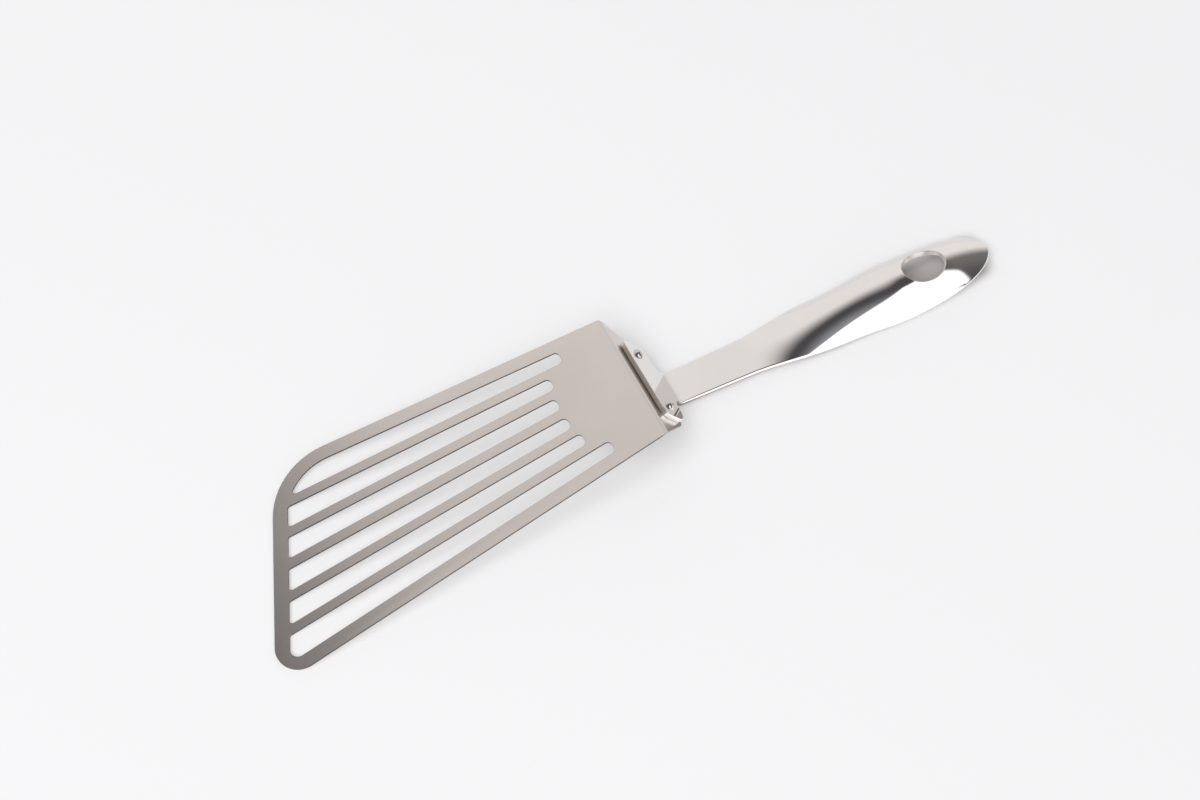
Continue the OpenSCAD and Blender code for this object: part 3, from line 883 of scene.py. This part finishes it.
class SPATULA_OT_rivets(bpy.types.Operator):
    """Set the two rivets that hold the handle to the blade's tail"""
    bl_idname = "spatula.rivets"
    bl_label = "Rivets"

    def execute(self, context):
        sizes = context.scene.spatula_rivets
        handle = context.scene.spatula_handle
        radius, rise = sizes.dome_width / 2, sizes.dome_height
        ball = (radius * radius + rise * rise) / (2 * rise)
        edge = math.asin(min(1.0, radius / ball))
        steps = 9
        dome = [(ball * math.sin(edge * i / steps), handle.sheet + rise - ball
                 + ball * math.cos(edge * i / steps)) for i in range(steps + 1)]
        under, bottom = -sizes.blade_sheet, -sizes.blade_sheet - sizes.foot_height
        shank, foot, lip = sizes.shank / 2, sizes.foot_width / 2, 0.25 * MM
        profile = dome + [(shank, handle.sheet), (shank, under), (foot, under),
                          (foot, bottom + lip), (foot - lip, bottom), (0.0, bottom)]
        piece = piece_object("rivets", turned_mesh("rivets", profile))
        run_tree(piece, rivet_tree(), {
            "Spacing": handle.head_width - 2 * sizes.edge,
            "Down the tail": handle.head_start + sizes.drop,
            "Material": polished_steel("rivet_steel", sizes, 0.03)})
        smooth_faces(piece.data, sharp=40)
        settle(piece, BLADE @ Matrix.Rotation(handle.tail_angle, 4, "Y"))
        ride_root(piece, "rivet_steel", "upper_rivet", "lower_rivet")
        return {"FINISHED"}


# Colours that the metal mirrors: the dim room with its warm glow and its haze, the pale
# wall to the north, the walls far to the east and west, and the soft box
DIM_ROOM = (0.08, 0.077, 0.082)
WARM_GLOW = (1.0, 0.95, 0.9)
HAZE = (1.0, 1.0, 1.06)
NORTH_WALL = (0.95, 0.90, 0.87)
FAR_WALLS = (0.95, 0.93, 0.90)
SOFT_BOX = (1.5, 1.5, 1.5)

LAMP_SIZE = (2.4, 1.9)
LAMP_PLACE = (-1.5, -0.9, 2.9)

# The photograph's viewpoint: where the camera stands, and which ways its right hand, its
# top and its back point
CAMERA_PLACE = (-0.2116392, -0.3728505, 0.8401991)
CAMERA_AXES = ((0.88675356, -0.46219983, 0.00625282),
               (0.40802166, 0.78902383, 0.45930327),
               (-0.21722354, -0.4047373, 0.88825796))
CAMERA_LENS, CAMERA_SENSOR = 75.31, 36.0


class SPATULA_OT_stage(bpy.types.Operator):
    """Lay the pale table, and set the light and the camera"""
    bl_idname = "spatula.stage"
    bl_label = "Table, light and camera"

    def execute(self, context):
        sizes = context.scene.spatula_stage
        self.lay_table(sizes)
        self.light_studio(context.scene, sizes)
        self.hang_lamp(context.scene, sizes)
        self.set_camera(context.scene)
        context.scene.view_settings.view_transform = "Standard"
        return {"FINISHED"}

    def lay_table(self, sizes):
        half = sizes.table_size / 2
        mesh = bpy.data.meshes.new("table")
        corners = [(-half, -half, 0), (half, -half, 0), (half, half, 0), (-half, half, 0)]
        mesh.from_pydata(corners, [], [(0, 1, 2, 3)])
        mesh.materials.append(table_material(sizes))
        piece_object("table", mesh)

    def light_studio(self, scene, sizes):
        """Even light from all round, and a studio that only the metal mirrors."""
        world = bpy.data.worlds.new("studio")
        world.use_nodes = True
        scene.world = world
        world.node_tree.nodes.clear()
        tree = Tree(world.node_tree)
        mirrored = tree.node("ShaderNodeBackground", Color=self.studio(tree), Strength=1.0)
        even = tree.node("ShaderNodeBackground", Color=(1.0, 1.0, 1.0, 1.0),
                         Strength=sizes.fill)
        path = tree.node("ShaderNodeLightPath")
        seen = tree.node("ShaderNodeMixShader", _0=path.outputs["Is Glossy Ray"],
                         _1=even.outputs[0], _2=mirrored.outputs[0])
        tree.node("ShaderNodeOutputWorld", Surface=seen.outputs[0])

    def studio(self, tree):
        """A dim room with pale walls and a big soft box. A direction is told by its tilt off
        straight up, in degrees, split into an eastern and a northern share."""
        x, y, z = tree.parts(tree.node("ShaderNodeTexCoord").outputs["Generated"])
        tilt = z.maths("ARCCOSINE") * math.degrees(1)
        level = (x * x + y * y).maths("SQRT").maths("MAXIMUM", 1e-4)
        east, north = tilt * x / level, tilt * y / level

        def side_of(edge, inward, blur):
            """1 inward of a straight edge through a place, and 0 beyond it."""
            inside = (east - edge[0]) * inward[0] + (north - edge[1]) * inward[1]
            return tree.ramp(inside, -blur, blur)

        # Dim room, with a warm glow in the east and the west and haze low in the south
        warm = (tree.ramp(east, 28, 44) * tree.ramp(north, -50, 12, low=0.02, high=0.12)
                + tree.ramp(east, -19, -28, high=0.4))
        haze = tree.ramp(north, -8, -52, high=0.3) * tree.ramp(east, 44, 36)
        room = tree.colours(haze, tree.colours(warm, DIM_ROOM, WARM_GLOW), HAZE)

        # Pale wall to the north, whose lower edge is soft in the west and crisper in the
        # east, and pale walls far to the east and west
        foot = tree.ramp(east, 14, 26, low=-4, high=10)
        top = tree.ramp(east, 26, 40, low=36, high=42)
        wall = tree.ramp(north, foot, top) * tree.ramp(east, -15.3, -9.3)
        far = tree.ramp(east, 73, 79) + tree.ramp(east, -56, -68)
        room = tree.colours(far, tree.colours(wall, room, NORTH_WALL), FAR_WALLS)

        # Soft box to the south east: its west, east and top edges, and a gap at its foot
        gap = tree.ramp(east, 40, 46) * tree.ramp(tilt, 84, 89)
        box = (side_of((24, -13), (0.84, -0.54), 1.5) * side_of((43, -30), (-0.99, -0.13), 1.5)
               * side_of((34, -12), (-0.86, -0.51), 4) * (1.0 - gap))
        return tree.colours(box, room, SOFT_BOX)

    def hang_lamp(self, scene, sizes):
        """One soft lamp for the shadows, which the metal doesn't mirror."""
        lamp = bpy.data.lights.new("soft_lamp", "AREA")
        lamp.shape = "RECTANGLE"
        lamp.size, lamp.size_y = LAMP_SIZE
        lamp.energy = sizes.lamp
        held = bpy.data.objects.new("soft_lamp", lamp)
        held.location = LAMP_PLACE
        held.rotation_euler = (-held.location).to_track_quat("-Z", "Y").to_euler()
        held.visible_glossy = False
        scene.collection.objects.link(held)

    def set_camera(self, scene):
        data = bpy.data.cameras.new("camera")
        data.lens, data.sensor_width = CAMERA_LENS, CAMERA_SENSOR
        data.clip_start, data.clip_end = 0.05, 20.0
        camera = bpy.data.objects.new("camera", data)
        camera.matrix_world = (Matrix.Translation(CAMERA_PLACE)
                               @ Matrix(CAMERA_AXES).transposed().to_4x4())
        scene.collection.objects.link(camera)
        scene.camera = camera


class SPATULA_PT_panel(bpy.types.Panel):
    """Sizes, finishes and the steps that build the spatula"""
    bl_label = "Fish spatula"
    bl_space_type = "VIEW_3D"
    bl_region_type = "UI"
    bl_category = "Spatula"

    def draw(self, context):
        for group in GROUPS:
            box = self.layout.box()
            box.operator(group.replace("_", "."))
            sizes = getattr(context.scene, group)
            for name in sizes.bl_rna.properties.keys():
                if name not in ("rna_type", "name"):
                    box.prop(sizes, name)


GROUPS = {
    "spatula_blade": SpatulaBladeSizes,
    "spatula_handle": SpatulaHandleSizes,
    "spatula_rivets": SpatulaRivetSizes,
    "spatula_stage": SpatulaStageSizes,
}
CLASSES = (*GROUPS.values(), SPATULA_OT_blade, SPATULA_OT_handle, SPATULA_OT_rivets,
           SPATULA_OT_stage, SPATULA_PT_panel)


def register():
    for cls in CLASSES:
        bpy.utils.register_class(cls)
    for name, cls in GROUPS.items():
        setattr(bpy.types.Scene, name, bpy.props.PointerProperty(type=cls))


def unregister():
    for name in GROUPS:
        delattr(bpy.types.Scene, name)
    for cls in reversed(CLASSES):
        bpy.utils.unregister_class(cls)


def main():
    register()
    bpy.ops.spatula.blade()
    bpy.ops.spatula.handle()
    bpy.ops.spatula.rivets()
    bpy.ops.spatula.stage()


if __name__ == "__main__":
    main()
